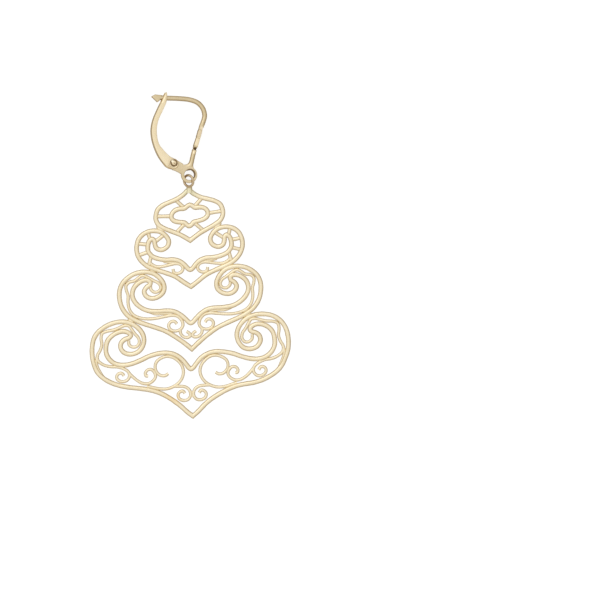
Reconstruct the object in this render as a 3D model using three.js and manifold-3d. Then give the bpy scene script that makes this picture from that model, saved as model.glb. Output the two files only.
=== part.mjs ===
// Chandelier earring, front side up, lying flat on the plane z = 0.
// The centre line of the pendant is the Y axis, with the clasp at +Y. All sizes are in millimetres.
// Four soldered tiers of wire and a bail ring make the drop. The clasp is an ear wire with a hinge
// plate, a channel-shaped lever that closes on the wire, and the rivet that the lever turns on.
import * as THREE from 'three';
import { mergeVertices } from 'three/addons/utils/BufferGeometryUtils.js';
import Module from 'manifold-3d';

const wasm = await Module();
wasm.setup();

// Driving sizes of the wires
const BAND_WIDTH = 0.86;
const BAND_HEIGHT = 0.7;
const VINE_WIDTH = 0.56;
const VINE_HEIGHT = 0.46;
const SPOKE_WIDTH = 0.68;
const SPOKE_HEIGHT = 0.52;
const SOLDER_WIDTH = 1.1;
const SOLDER_HEIGHT = 0.56;

// Farthest that a chord strays from the curve of its wire
const BAND_STRAY = 0.05;
const VINE_STRAY = 0.06;

// Driving sizes of the bail ring
const RING_RADIUS = 1.05;
const RING_WIRE = 0.45;
const RING_CENTRE = [-0.1, 1.28, 1.2];
const RING_TILT_ACROSS = -35;
const RING_TILT_ALONG = 10;

// Driving sizes of the clasp
const CLASP_ROLL = 12;
const CLASP_LIFT = 1.28;
const EYE_CENTRE = [0, 2.37];
const EYE_RADIUS = 1.5;
const EYE_HOLE = 0.935;
const PLATE_THICKNESS = 0.62;
const WIRE_DIAMETER = 0.9;
const FOOT_DIAMETER = 0.8;
const FRONT_WIDTH = 1.3;
const FRONT_THICKNESS = 0.6;
const PIN_CENTRE = [-2.97, 4.6];
const PIN_RADIUS = 0.4;
const PIN_HEAD_RADIUS = 0.62;
const PIN_HEAD_HEIGHT = 0.26;
const LEVER_WIDTH = 1.7;
const LEVER_WALL = 0.28;
const LEVER_SPINE = 0.32;
const EAR_CENTRE = [-3.05, 4.43];
const EAR_RADIUS = 1;
const RUN_GAP = 0.05;

// Turns a closed three.js geometry into a solid for joining and cutting
function solidOf(geometry) {
  const bare = geometry.clone();
  bare.deleteAttribute('normal');
  bare.deleteAttribute('uv');
  const welded = mergeVertices(bare);
  return new wasm.Manifold(new wasm.Mesh({
    numProp: 3,
    vertProperties: new Float32Array(welded.attributes.position.array),
    triVerts: new Uint32Array(welded.index.array),
  }));
}

// Turns a solid back into a three.js geometry
function geometryOf(solid) {
  const mesh = solid.getMesh();
  const geometry = new THREE.BufferGeometry();
  geometry.setAttribute('position', new THREE.BufferAttribute(new Float32Array(mesh.vertProperties), 3));
  geometry.setIndex(new THREE.BufferAttribute(new Uint32Array(mesh.triVerts), 1));
  geometry.computeVertexNormals();
  return geometry;
}

function joined(solids) {
  return solids.reduce((whole, solid) => whole.add(solid));
}

// A route in the plane, held as stations with the heading at each
class Route extends THREE.Curve {
  constructor(points, headings) {
    super();
    this.points = points;
    this.headings = headings;
  }

  getUtoTmapping(u) {
    return u;
  }

  getPoint(t, target = new THREE.Vector3()) {
    return target.copy(this.points[Math.round(t * (this.points.length - 1))]);
  }

  getTangent(t, target = new THREE.Vector3()) {
    return target.copy(this.headings[Math.round(t * (this.headings.length - 1))]);
  }
}

// The stations are set closer where the wire bends more, so each chord strays from it by "stray" at most.
// "trim" is how many fine steps are left off at each end.
const FINE = 14;
function routeThrough(knots, place, stray, trim = 0) {
  const curve = new THREE.CatmullRomCurve3(knots.map(([x, y]) => new THREE.Vector3(x, y, 0)), false, 'centripetal');
  const whole = FINE * (knots.length - 1);
  const at = (step) => {
    const point = curve.getPoint(Math.min(Math.max(step / whole, 0), 1));
    return place(point.x, point.y);
  };
  const headingAt = (step) => {
    const ahead = at(Math.min(step + 0.5, whole));
    return ahead.sub(at(Math.max(step - 0.5, 0))).normalize();
  };
  const points = [at(trim)];
  const headings = [headingAt(trim)];
  let before = headings[0];
  let bend = 0;
  let length = 0;
  for (let step = trim + 1; step <= whole - trim; step += 1) {
    const heading = headingAt(step);
    bend += before.angleTo(heading);
    length += at(step).distanceTo(at(step - 1));
    before = heading;
    if (bend * length > 8 * stray || bend > 0.55 || step === whole - trim) {
      points.push(at(step));
      headings.push(heading);
      bend = 0;
      length = 0;
    }
  }
  return new Route(points, headings);
}

// A cast wire with a flat back at z = 0: "flank" is the height of its widest level, "crown" the width on top
function wire(route, width, height, flank, crown) {
  const half = width / 2;
  const outline = [[0, -half * 0.92], [-flank, -half], [-height, -crown / 2]];
  if (crown > 0) {
    outline.push([-height, crown / 2]);
  }
  outline.push([-flank, half], [0, half * 0.92]);
  const section = new THREE.Shape(outline.map(([x, y]) => new THREE.Vector2(x, y)));
  return solidOf(new THREE.ExtrudeGeometry(section, {
    steps: route.points.length - 1,
    extrudePath: route,
    bevelEnabled: false,
  }));
}

// Each tier is drawn as one half, as distances out from the centre line and down from the top point.
// "lean" is the rise of the tier towards its right side and "drift" its lean to the left above its tip,
// as it was soldered by hand. A pointed tier ends in a sharp tip below. "bends" holds what sets the right
// half apart from the left one: at a point (out, down) and within a reach about it, the wires lie so much
// further right and up. The shield is the small band inside the first tier.
const TIERS = {
  first: {
    tip: 9.7,
    lean: 0.068,
    drift: 0.02,
    pointed: true,
    bends: [],
    bands: [
      [
        [0, 9.7], [0.95, 9.05], [1.9, 8.45], [3.25, 7.8], [4.6, 7.15], [5.7, 6.4], [6.2, 5.4],
        [6.15, 4.4], [5.75, 3.45], [4.75, 2.75], [3.5, 2.3], [2.2, 1.85], [0.95, 1.15], [0, 0.5],
      ],
    ],
    vines: [],
    solder: [],
    spokes: [
      [[2.45, 2.05], [1.0, 3.45]],
      [[6.1, 4.75], [3.4, 4.95]],
      [[2.5, 8.05], [1.0, 6.65]],
    ],
  },
  shield: {
    tip: 3.8,
    lean: 0.068,
    drift: -0.039,
    pointed: false,
    bends: [],
    bands: [
      [
        [0, 3.13], [0.5, 3.35], [0.97, 3.7], [1.9, 3.7], [2.7, 3.92], [3.2, 4.39], [3.4, 5.01],
        [3.19, 5.56], [2.6, 5.97], [1.67, 6.2], [0.8, 6.38], [0.43, 6.8], [0, 7.03],
      ],
    ],
    vines: [],
    solder: [],
    spokes: [],
  },
  second: {
    tip: 18.25,
    lean: 0.042,
    drift: 0.02,
    pointed: true,
    bends: [[5, 11, 3, 0.12, 0]],
    bands: [
      [
        [0, 18.25], [1.1, 17.5], [2.9, 16.2], [4.7, 15.4], [6.55, 14.7], [7.95, 14.0], [9.2, 12.75],
        [9.75, 11.4], [9.75, 10.1], [9.25, 8.8], [8.3, 7.95], [6.95, 7.55], [5.45, 7.75], [4.4, 8.5],
        [3.8, 9.6], [4.1, 10.6], [5.2, 11.15], [6.1, 10.8], [6.4, 9.95], [6.45, 9.4], [6.85, 9.05],
        [7.4, 9.4], [7.7, 10.3], [7.65, 11.3], [6.95, 12.25], [5.75, 12.8], [4.45, 13.05], [2.95, 13.1],
        [1.8, 13.5], [0.9, 14.25], [0, 15.0],
      ],
    ],
    vines: [
      [
        [7.4, 13.45], [6.8, 13.95], [6.0, 14.25], [4.85, 14.2], [3.75, 14.0], [2.65, 13.85], [1.75, 14.1],
        [1.35, 14.85], [1.7, 15.45], [2.4, 15.7], [3.05, 15.45], [3.2, 14.8],
      ],
      [[4.9, 13.3], [3.75, 13.55], [2.6, 13.55], [1.7, 13.95]],
    ],
    solder: [[[5.5, 6.6], [5.1, 7.8]]],
    spokes: [
      [[4.55, 8.35], [6.2, 9.5]],
      [[7.6, 7.75], [7.2, 9.3]],
      [[9.6, 9.75], [7.65, 10.05]],
      [[9.5, 11.95], [7.65, 11.4]],
      [[7.6, 13.8], [7.2, 12.3]],
    ],
  },
  third: {
    tip: 29.8,
    lean: 0.048,
    drift: 0.02,
    pointed: true,
    bends: [[9, 18, 4.5, 0.22, 0]],
    bands: [
      [
        [0, 29.8], [1.25, 28.7], [3.05, 27.3], [4.85, 26.15], [6.7, 25.35], [8.55, 24.65], [10.15, 23.9],
        [11.6, 22.9], [12.65, 21.35], [13.05, 19.7], [13.0, 18.25], [12.5, 17.0], [11.5, 16.0],
        [10.15, 15.25], [8.4, 15.0], [6.65, 15.4], [5.45, 16.35], [4.75, 17.6], [4.85, 18.8],
        [5.75, 19.7], [7.05, 20.0], [8.1, 19.5], [8.45, 18.6], [7.95, 17.85], [7.4, 17.5], [7.25, 17.05],
        [7.6, 16.65], [8.35, 16.55], [9.3, 16.9], [10.15, 17.6], [10.6, 18.55], [10.6, 19.6],
        [10.05, 20.7], [9.0, 21.65], [7.7, 22.25], [6.05, 22.45], [4.4, 22.45], [3.1, 22.65], [2.0, 23.25],
        [1.05, 24.1], [0, 25.0],
      ],
    ],
    vines: [
      [
        [7.25, 17.75], [7.15, 18.4], [6.45, 18.9], [5.65, 18.65], [5.35, 18.0], [5.75, 17.25], [6.5, 16.8],
        [7.35, 16.25], [8.15, 15.8], [8.85, 15.7], [9.45, 16.05], [10.2, 16.55], [11.15, 16.75],
        [11.75, 17.3], [11.75, 18.1], [11.45, 19.2], [11.5, 20.55], [11.25, 21.85], [10.5, 22.9],
        [9.25, 23.5], [7.75, 23.75], [6.25, 23.7], [4.8, 23.5], [3.45, 23.35], [2.45, 23.6], [1.7, 24.4],
        [1.5, 25.3], [2.0, 26.05], [3.05, 26.3], [3.9, 25.9], [4.15, 25.15], [3.7, 24.55], [3.05, 24.5],
        [2.6, 25.0],
      ],
      [[7.6, 22.45], [6.45, 22.9], [4.95, 22.9], [3.5, 23.0]],
      [
        [2.0, 25.95], [2.1, 26.8], [1.65, 27.4], [0.95, 27.6], [0.4, 27.4], [0.3, 26.95], [0.55, 26.65],
        [1.05, 26.55],
      ],
    ],
    solder: [[[6.6, 14.6], [6.9, 15.3]]],
    spokes: [],
  },
  fourth: {
    tip: 42.2,
    lean: 0.036,
    drift: 0.022,
    pointed: true,
    bends: [
      [7, 31, 5, 0.22, -0.3], [12, 36.5, 2.5, 0, -0.22], [6, 38.5, 2.5, 0.1, -0.15],
      [15.5, 25, 2.5, 0.15, 0.3], [17.8, 33, 2.2, -0.3, 0],
    ],
    bands: [
      [
        [0, 42.2], [0.9, 41.5], [2.35, 40.1], [4.15, 38.7], [5.95, 37.65], [7.8, 37.0], [9.8, 36.6],
        [11.65, 36.3], [13.5, 35.85], [14.95, 35.25], [16.2, 34.45], [17.3, 33.3], [17.95, 31.7],
        [18.2, 30.1], [18.15, 28.5], [17.8, 27.05], [17.1, 25.95], [15.85, 25.0], [14.35, 24.35],
        [12.6, 24.1], [10.95, 24.45], [9.65, 25.3], [8.8, 26.4], [8.5, 27.6], [8.8, 28.8], [9.65, 29.8],
        [11.0, 30.2], [12.25, 29.85], [12.9, 28.9], [12.75, 28.0], [12.05, 27.4], [11.3, 27.15],
        [10.95, 26.75], [11.2, 26.3], [12.2, 25.9], [13.3, 26.05], [14.45, 26.65], [15.25, 27.5],
        [15.6, 28.7], [15.55, 29.95], [14.95, 31.05], [13.9, 31.85], [12.4, 32.15], [10.85, 31.95],
        [9.25, 31.4], [7.55, 30.7], [5.7, 30.3], [4.2, 30.3], [2.9, 30.7], [1.75, 31.5], [0.85, 32.55],
        [0, 33.4],
      ],
    ],
    vines: [
      [
        [11.35, 27.65], [11.3, 28.45], [10.65, 28.9], [9.9, 28.8], [9.4, 28.1], [9.55, 27.25], [10.15, 26.5],
        [10.7, 25.65], [11.25, 24.95], [12.05, 24.85], [12.9, 25.15], [14.05, 25.55], [15.35, 25.75],
        [16.2, 26.1], [16.45, 26.95], [16.35, 28.15], [16.7, 29.2], [17.25, 30.2], [17.15, 31.1],
        [16.3, 31.85], [15.0, 32.3], [13.55, 32.45], [12.35, 32.9], [11.6, 33.5], [11.45, 34.3],
        [11.95, 35.0], [12.85, 35.2], [13.6, 34.85], [13.85, 34.25], [13.45, 33.7], [12.85, 33.65],
        [12.45, 34.15],
      ],
      [[17.2, 30.2], [17.5, 31.2], [17.35, 32.2], [16.85, 33.1], [16.1, 33.95]],
      [
        [11.45, 33.75], [10.85, 34.4], [9.95, 35.2], [9.05, 35.7], [8.0, 35.8], [7.15, 35.35], [6.65, 34.65],
        [6.75, 33.9], [7.3, 33.25], [8.0, 33.25], [8.5, 33.8], [8.4, 34.35], [8.0, 34.4],
      ],
      [
        [4.25, 34.15], [4.9, 34.5], [5.8, 34.35], [6.45, 33.65], [6.65, 32.75], [6.35, 31.85], [5.55, 31.25],
        [4.5, 30.95], [3.4, 31.15], [2.4, 31.85], [1.7, 32.8], [1.45, 33.9], [1.7, 35.0], [2.35, 35.9],
        [3.3, 36.55], [4.65, 36.95], [6.1, 36.85], [7.3, 36.55], [8.3, 36.3],
      ],
      [
        [3.3, 36.55], [2.4, 36.6], [1.4, 36.7], [0.7, 37.1], [0.3, 37.8], [0.35, 38.55], [0.85, 39.15],
        [1.7, 39.25], [2.4, 38.85], [2.6, 38.15], [2.25, 37.65], [1.7, 37.5], [1.3, 37.95],
      ],
    ],
    solder: [[[10.7, 23.2], [10.9, 24.6]]],
    spokes: [],
  },
};

function joint({ x, y }) {
  const geometry = new THREE.CylinderGeometry(BAND_WIDTH / 2 + 0.03, BAND_WIDTH / 2 + 0.03, BAND_HEIGHT + 0.02, 10);
  geometry.rotateX(Math.PI / 2);
  geometry.translate(x, y, BAND_HEIGHT / 2 + 0.01);
  return solidOf(geometry);
}

const wires = [];
for (const tier of Object.values(TIERS)) {
  for (const side of [-1, 1]) {
    const place = (out, down) => {
      const x = side * out - tier.drift * (tier.tip - down);
      const point = new THREE.Vector3(x, tier.lean * x - down, 0);
      for (const [bendOut, bendDown, reach, right, up] of side > 0 ? tier.bends : []) {
        const near = Math.exp(-((out - bendOut) ** 2 + (down - bendDown) ** 2) / reach ** 2);
        const share = near * (1 - Math.exp(-((out / 2) ** 2)));
        point.x += right * share;
        point.y += up * share;
      }
      return point;
    };
    for (const knots of tier.bands) {
      // The two halves meet on the centre line, so each carries the first knot of the other half, or
      // runs straight on at a pointed tip. A round solder joint covers where they meet.
      const [[, tip], [nextOut, nextDown]] = knots;
      const [lastOut, lastDown] = knots[knots.length - 2];
      const start = [-nextOut, tier.pointed ? 2 * tip - nextDown : nextDown];
      const whole = [start, ...knots, [-lastOut, lastDown]];
      const route = routeThrough(whole, place, BAND_STRAY, FINE);
      wires.push(wire(route, BAND_WIDTH, BAND_HEIGHT, 0.3, 0.44));
      if (side > 0) {
        wires.push(joint(route.points[0]), joint(route.points[route.points.length - 1]));
      }
    }
    for (const knots of tier.vines) {
      wires.push(wire(routeThrough(knots, place, VINE_STRAY), VINE_WIDTH, VINE_HEIGHT, 0.2, 0));
    }
    for (const knots of tier.spokes) {
      wires.push(wire(routeThrough(knots, place, VINE_STRAY), SPOKE_WIDTH, SPOKE_HEIGHT, 0.22, 0.26));
    }
    for (const knots of tier.solder) {
      wires.push(wire(routeThrough(knots, place, VINE_STRAY), SOLDER_WIDTH, SOLDER_HEIGHT, 0.3, 0.5));
    }
  }
}

// Bail ring, with its solder on the top point, and the solder between the two small curls of the last tier
const degrees = THREE.MathUtils.degToRad;
const ringGeometry = new THREE.TorusGeometry(RING_RADIUS, RING_WIRE / 2, 6, 24);
ringGeometry.rotateY(degrees(RING_TILT_ACROSS));
ringGeometry.rotateX(degrees(RING_TILT_ALONG));
ringGeometry.translate(...RING_CENTRE);
const solderGeometry = new THREE.CylinderGeometry(0.42, 0.56, 0.95, 12);
solderGeometry.rotateX(Math.PI / 2);
solderGeometry.translate(0, -0.15, 0.475);
const beadGeometry = new THREE.BoxGeometry(0.3, 1.1, 0.34);
beadGeometry.translate(-0.08, -38.15, 0.17);
const drop = joined([...wires, solidOf(ringGeometry), solidOf(solderGeometry), solidOf(beadGeometry)]);

// A flat blank cut along an outline and centred on the plane of the clasp
function blank(outline, thickness, holes = []) {
  const shape = new THREE.Shape(outline.map(([x, y]) => new THREE.Vector2(x, y)));
  for (const [centre, radius, sides] of holes) {
    const hole = new THREE.Path();
    hole.setFromPoints(arc(centre, radius, 0, 360 - 360 / sides, sides - 1).map(([x, y]) => new THREE.Vector2(x, y)));
    shape.holes.push(hole);
  }
  const geometry = new THREE.ExtrudeGeometry(shape, { depth: thickness, bevelEnabled: false });
  geometry.translate(0, 0, -thickness / 2);
  return geometry;
}

// Points of an arc about a centre, from one angle to another in degrees
function arc([x, y], radius, from, to, steps) {
  return Array.from({ length: steps + 1 }, (_, step) => {
    const angle = degrees(from + (to - from) * step / steps);
    return [x + radius * Math.cos(angle), y + radius * Math.sin(angle)];
  });
}

// Hinge plate with the eye for the bail ring
const plateOutline = [
  ...arc(PIN_CENTRE, 0.62, 100, 200, 4),
  [-3.5, 3.75], [-3.1, 3.3], [-2.6, 3.15], [-2.2, 2.95], [-1.55, 2.5],
  ...arc(EYE_CENTRE, EYE_RADIUS, 185, 400, 12),
  [0.75, 4.1], [0.5, 4.7], [-0.1, 4.4], [-0.6, 4.32], [-1.1, 4.42], [-1.9, 4.9], [-2.4, 5.17],
];
const plate = solidOf(blank(plateOutline, PLATE_THICKNESS, [
  [EYE_CENTRE, EYE_HOLE, 16],
  [PIN_CENTRE, PIN_RADIUS + RUN_GAP / 2, 10],
]));

// Ear wire: a round wire, flattened for its front, and cut to a hook at the closing end
const flat = (x, y) => new THREE.Vector3(x, y, 0);
function rod(knots, outline) {
  const route = routeThrough(knots, flat, 0.03);
  return solidOf(new THREE.ExtrudeGeometry(new THREE.Shape(outline.map(([x, y]) => new THREE.Vector2(x, y))), {
    steps: route.points.length - 1,
    extrudePath: route,
    bevelEnabled: false,
  }));
}

const wireSection = arc([0, 0], WIRE_DIAMETER / 2, 22.5, 337.5, 7);
const footSection = arc([0, 0], FOOT_DIAMETER / 2, 22.5, 337.5, 7);
const frontHalf = FRONT_WIDTH / 2;
const frontSection = [
  [-frontHalf, -0.06], [-0.25, -FRONT_THICKNESS / 2], [0.25, -FRONT_THICKNESS / 2], [frontHalf, -0.06],
  [frontHalf, 0.1], [0.25, FRONT_THICKNESS / 2], [-0.25, FRONT_THICKNESS / 2], [-frontHalf, 0.1],
];
const foot = rod([[0.3, 4.0], [0.55, 5.0], [0.85, 6.2], [1.08, 7.0]], footSection);
const front = rod([[0.95, 6.7], [1.25, 7.6], [1.75, 9.1], [2.25, 10.8], [2.55, 11.7]], frontSection);
const hoop = rod([
  [2.4, 11.2], [2.85, 12.3], [3.1, 13.3], [2.8, 14.6], [1.85, 15.7], [0.45, 16.25], [-1.55, 16.5],
  [-3.9, 16.6], [-5.5, 16.7],
], wireSection);
const hook = solidOf(blank([[-4.9, 17.15], [-6.2, 17.28], [-6.88, 16.88], [-5.75, 15.8], [-5.2, 16.3]], 0.8));
const earWire = joined([foot, front, hoop, plate, hook]);

// Lever: a channel whose spine is on the outer side, with ears on the rivet and a fork at the top
const leverOuter = [
  [-4.2, 17.75], [-4.45, 17.2], [-5.1, 15.8], [-6.0, 14.0], [-6.65, 12.4], [-6.95, 10.75], [-6.85, 9.2],
  [-6.4, 7.45], [-5.65, 5.75], [-4.8, 4.5], [-4.35, 3.95],
];
const leverInner = [
  [-3.75, 5.88], [-4.7, 6.72], [-5.65, 8.0], [-6.1, 9.4], [-6.15, 10.7], [-6.0, 12.15],
  [-5.4, 13.45], [-4.65, 14.85], [-4.3, 15.9], [-4.1, 17.2],
];
const leverBody = solidOf(blank([...leverOuter, ...arc(EAR_CENTRE, EAR_RADIUS, 235, 435, 9), ...leverInner], LEVER_WIDTH));
const pocketOuter = leverOuter.slice(2, -1).map(([x, y]) => [x + LEVER_SPINE, y]);
const pocket = solidOf(blank([
  [-4.3, 18.2], ...pocketOuter, [-4.6, 2.6], [-1.2, 2.6], [-1.2, 6.5], [-3.0, 9.0],
  [-3.0, 18.2],
], LEVER_WIDTH - 2 * LEVER_WALL));
// The spine stops short of the wire, so the fork passes on both sides of it
const slot = solidOf(blank([[-7.5, 15.5], [-3.0, 15.5], [-3.0, 18.2], [-7.5, 18.2]], LEVER_WIDTH - 2 * LEVER_WALL));
// The spine also stops short of the plate, so the lever can swing
const heel = solidOf(blank([[-6.2, 2.6], [-2.0, 2.6], [-2.0, 4.5], [-5.5, 5.2]], LEVER_WIDTH - 2 * LEVER_WALL));

function cylinderAt([x, y], radius, height, z, sides) {
  const geometry = new THREE.CylinderGeometry(radius, radius, height, sides);
  geometry.rotateX(Math.PI / 2);
  geometry.translate(x, y, z);
  return solidOf(geometry);
}

const lever = leverBody
  .subtract(pocket)
  .subtract(slot)
  .subtract(heel)
  .subtract(cylinderAt(PIN_CENTRE, PIN_RADIUS + RUN_GAP, 4, 0, 16));

// Rivet, with a head on each side of the lever
const headCentre = LEVER_WIDTH / 2 + RUN_GAP + PIN_HEAD_HEIGHT / 2;
const rivet = joined([
  cylinderAt(PIN_CENTRE, PIN_RADIUS, LEVER_WIDTH + 2 * RUN_GAP + 0.1, 0, 16),
  cylinderAt(PIN_CENTRE, PIN_HEAD_RADIUS, PIN_HEAD_HEIGHT, headCentre, 16),
  cylinderAt(PIN_CENTRE, PIN_HEAD_RADIUS, PIN_HEAD_HEIGHT, -headCentre, 16),
]);

function piece(name, solid, colour, roughness) {
  const material = new THREE.MeshStandardMaterial({ color: colour, metalness: 1, roughness });
  const mesh = new THREE.Mesh(geometryOf(solid), material);
  mesh.name = name;
  return mesh;
}

const group = new THREE.Group();
group.add(piece('filigree_drop', drop, 0xe9cf92, 0.26));

// The clasp lies on its side, rolled a little so that the lever is the higher side
const clasp = new THREE.Group();
clasp.rotation.y = degrees(CLASP_ROLL);
clasp.position.z = CLASP_LIFT;
clasp.add(piece('ear_wire', earWire, 0xe6c987, 0.22));
clasp.add(piece('lever', lever, 0xe6c987, 0.24));
clasp.add(piece('hinge_rivet', rivet, 0xe0c07a, 0.25));
group.add(clasp);

export default group;
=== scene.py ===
import math

import bmesh
import bpy
import numpy as np
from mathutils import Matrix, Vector


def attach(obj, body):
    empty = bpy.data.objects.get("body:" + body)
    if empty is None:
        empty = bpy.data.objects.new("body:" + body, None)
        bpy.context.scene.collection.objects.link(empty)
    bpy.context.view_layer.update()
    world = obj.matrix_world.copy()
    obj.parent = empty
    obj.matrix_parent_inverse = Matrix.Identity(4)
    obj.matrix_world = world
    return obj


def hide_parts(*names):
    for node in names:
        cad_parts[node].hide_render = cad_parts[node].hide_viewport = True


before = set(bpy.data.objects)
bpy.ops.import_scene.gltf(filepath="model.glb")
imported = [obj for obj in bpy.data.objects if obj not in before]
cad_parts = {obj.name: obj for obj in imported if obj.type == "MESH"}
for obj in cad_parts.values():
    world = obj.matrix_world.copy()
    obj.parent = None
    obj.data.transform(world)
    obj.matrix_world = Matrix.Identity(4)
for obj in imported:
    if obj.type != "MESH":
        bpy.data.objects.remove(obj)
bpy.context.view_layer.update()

# First tier: a rounded shield of heavy wire round a smaller one, held apart by six short straight wires.
# Every wire of the drop is cast gold with a flat back and a domed front, 0.9 mm wide or less, and all of
# them are soldered edge to edge. Sizes and places are in millimetres.
MM = 0.001
BAND = {"width": 0.87, "height": 0.70, "flank": 0.26, "around": 18, "step": 0.2}
VINE = {"width": 0.57, "height": 0.46, "flank": 0.16, "around": 14, "step": 0.16}
SPOKE = {"width": 0.70, "height": 0.52, "flank": 0.18, "around": 14, "step": 0.2}
SOLDER = {"width": 1.2, "height": 0.56, "flank": 0.2, "around": 16, "step": 0.2}
PER_SPAN = 12
CROWN_POWER = 0.8
BACK_POWER = 0.35

# How a hand-finished wire varies: each swell is a share of the width, radians per millimetre and a phase,
# and the sink is the same for the height of the crown.
SWELLS = [(0.022, 1.9, 1), (0.016, 4.7, 2)]
SINK_SHARE = 0.02
SINK_PACE = 0.8
SINK_PHASE = 3


def curve_through(knots, per_span=PER_SPAN):
    """A smooth curve through the knots: on each span a cubic, whose slopes at its two ends come from the
    neighbouring knots weighted by the square root of the distances between them."""
    knots = np.asarray(knots, float)
    ends = np.vstack([2 * knots[0] - knots[1], knots, 2 * knots[-1] - knots[-2]])
    a, b, c, d = ends[:-3], ends[1:-2], ends[2:-1], ends[3:]
    ab, bc, cd = (np.sqrt(np.linalg.norm(q - p, axis=1))[:, None] for p, q in ((a, b), (b, c), (c, d)))
    leave = bc * ((b - a) / ab - (c - a) / (ab + bc) + (c - b) / bc)
    arrive = bc * ((c - b) / bc - (d - b) / (bc + cd) + (d - c) / cd)
    t = np.linspace(0, 1, per_span, endpoint=False)[None, :, None]
    b, c, leave, arrive = (part[:, None, :] for part in (b, c, leave, arrive))
    spans = b + leave * t + (3 * (c - b) - 2 * leave - arrive) * t**2 + (2 * (b - c) + leave + arrive) * t**3
    return np.vstack([spans.reshape(-1, knots.shape[1]), knots[-1]])


def evenly(points, step):
    """The same line with stations at equal distances, each coordinate read off against the length run."""
    run = np.concatenate([[0], np.cumsum(np.linalg.norm(np.diff(points, axis=0), axis=1))])
    stations = np.linspace(0, run[-1], max(4, round(run[-1] / step) + 1))
    return np.column_stack([np.interp(stations, run, axis) for axis in points.T])


def solid_of(name, grid, closed=False):
    """A closed mesh over a grid of points: row after row round a profile, with quads between neighbouring
    rows, and a flat face on each end or, on a closed path, quads from the last row to the first."""
    rows, around = grid.shape[:2]
    index = np.arange(rows * around).reshape(rows, around)
    here = index if closed else index[:-1]
    ahead = np.roll(index, -1, axis=0) if closed else index[1:]
    quads = np.stack([here, np.roll(here, -1, axis=1), np.roll(ahead, -1, axis=1), ahead], axis=-1)
    faces = quads.reshape(-1, 4).tolist()
    if not closed:
        faces += [index[0][::-1].tolist(), index[-1].tolist()]
    mesh = bpy.data.meshes.new(name)
    mesh.from_pydata((grid.reshape(-1, 3) * MM).tolist(), [], faces)
    cleaner = bmesh.new()
    cleaner.from_mesh(mesh)
    bmesh.ops.recalc_face_normals(cleaner, faces=cleaner.faces)
    cleaner.to_mesh(mesh)
    cleaner.free()
    solid = bpy.data.objects.new(name, mesh)
    bpy.context.scene.collection.objects.link(solid)
    return solid


def carried(name, section, path, up, closed=False):
    """A profile carried along a path: at each station the profile's first coordinate lies along the normal
    of the path (the heading crossed with "up") and its second along "up". At a corner the heading is the
    mean of the two sides, and the profile is widened by one over the cosine of half the turn, as a mitre."""
    arrive = path - np.roll(path, 1, axis=0)
    leave = np.roll(path, -1, axis=0) - path
    if not closed:
        arrive[0] = leave[0]
        leave[-1] = arrive[-1]
    arrive /= np.linalg.norm(arrive, axis=1)[:, None]
    leave /= np.linalg.norm(leave, axis=1)[:, None]
    heading = arrive + leave
    half_turn = np.linalg.norm(heading, axis=1) / 2
    heading /= 2 * half_turn[:, None]
    up = np.broadcast_to(np.asarray(up, float), path.shape)
    normal = np.cross(heading, up)
    normal /= np.linalg.norm(normal, axis=1)[:, None] * half_turn[:, None]
    section = np.broadcast_to(section, (len(path),) + section.shape[-2:])
    grid = path[:, None] + section[..., :1] * normal[:, None] + section[..., 1:] * up[:, None]
    return solid_of(name, grid, closed)


def domed(kind, count):
    """Profile of a cast wire: an ellipse whose sine and cosine are raised to a power, which makes its top
    half a little squarer and its lower half almost a box. The flat side is the back. Each wire is a few
    hundredths wider and narrower along its length."""
    angle = 2 * np.pi * (np.arange(kind["around"]) + 0.5) / kind["around"]
    below = np.sin(angle) < 0
    power = np.where(below, BACK_POWER, CROWN_POWER)
    across = 0.5 * kind["width"] * np.sign(np.cos(angle)) * np.abs(np.cos(angle)) ** power
    reach = np.where(below, kind["flank"], kind["height"] - kind["flank"])
    rise = kind["flank"] + reach * np.sign(np.sin(angle)) * np.abs(np.sin(angle)) ** power
    place = np.arange(count)[:, None] * kind["step"]
    swell = 1 + sum(share * np.sin(place * pace + phase * count) for share, pace, phase in SWELLS)
    sag = np.abs(np.sin(place * SINK_PACE + SINK_PHASE * count))
    sink = 1 - SINK_SHARE * sag * (rise > kind["flank"])
    return np.stack([across * swell, rise * sink], axis=-1)


def placed(curve, side, tier):
    """Takes points of a half tier, as distances out from the centre line and down from the top point, to
    their place: mirrored to their side, leaning, and on the right side shifted near each of the bends."""
    out, down = curve.T
    x = side * out - tier["drift"] * (tier["tip"] - down)
    y = tier["lean"] * x - down
    for bend in tier["bends"] if side > 0 else ():
        far = ((out - bend["out"]) ** 2 + (down - bend["down"]) ** 2) / bend["reach"] ** 2
        near = np.exp(-far) * (1 - np.exp(-((out / 2) ** 2)))
        x = x + bend["right"] * near
        y = y + bend["up"] * near
    return np.column_stack([x, y, np.zeros_like(x)])


def wires_of(tier):
    """The wires of one tier. A band is one loop, down one side and back up the other; the rest is a pair.
    A band runs smoothly across the centre line, except at the tip of a pointed tier."""
    wires = []
    for knots in tier["bands"]:
        (_, tip), (next_out, next_down) = knots[:2]
        last_out, last_down = knots[-2]
        before = [-next_out, 2 * tip - next_down if tier["pointed"] else next_down]
        half = curve_through([before, *knots, [-last_out, last_down]], PER_SPAN)[PER_SPAN:-PER_SPAN]
        loop = np.vstack([placed(half, -1, tier), placed(half, 1, tier)[-2:0:-1]])
        path = evenly(np.vstack([loop, loop[:1]]), BAND["step"])[:-1]
        wires.append(carried("band", domed(BAND, len(path)), path, (0, 0, 1), closed=True))
    for kind, lines in ((VINE, tier["vines"]), (SPOKE, tier["spokes"]), (SOLDER, tier["solder"])):
        for knots in lines:
            for side in (-1, 1):
                path = evenly(placed(curve_through(knots), side, tier), kind["step"])
                wires.append(carried("wire", domed(kind, len(path)), path, (0, 0, 1)))
    return wires


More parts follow.
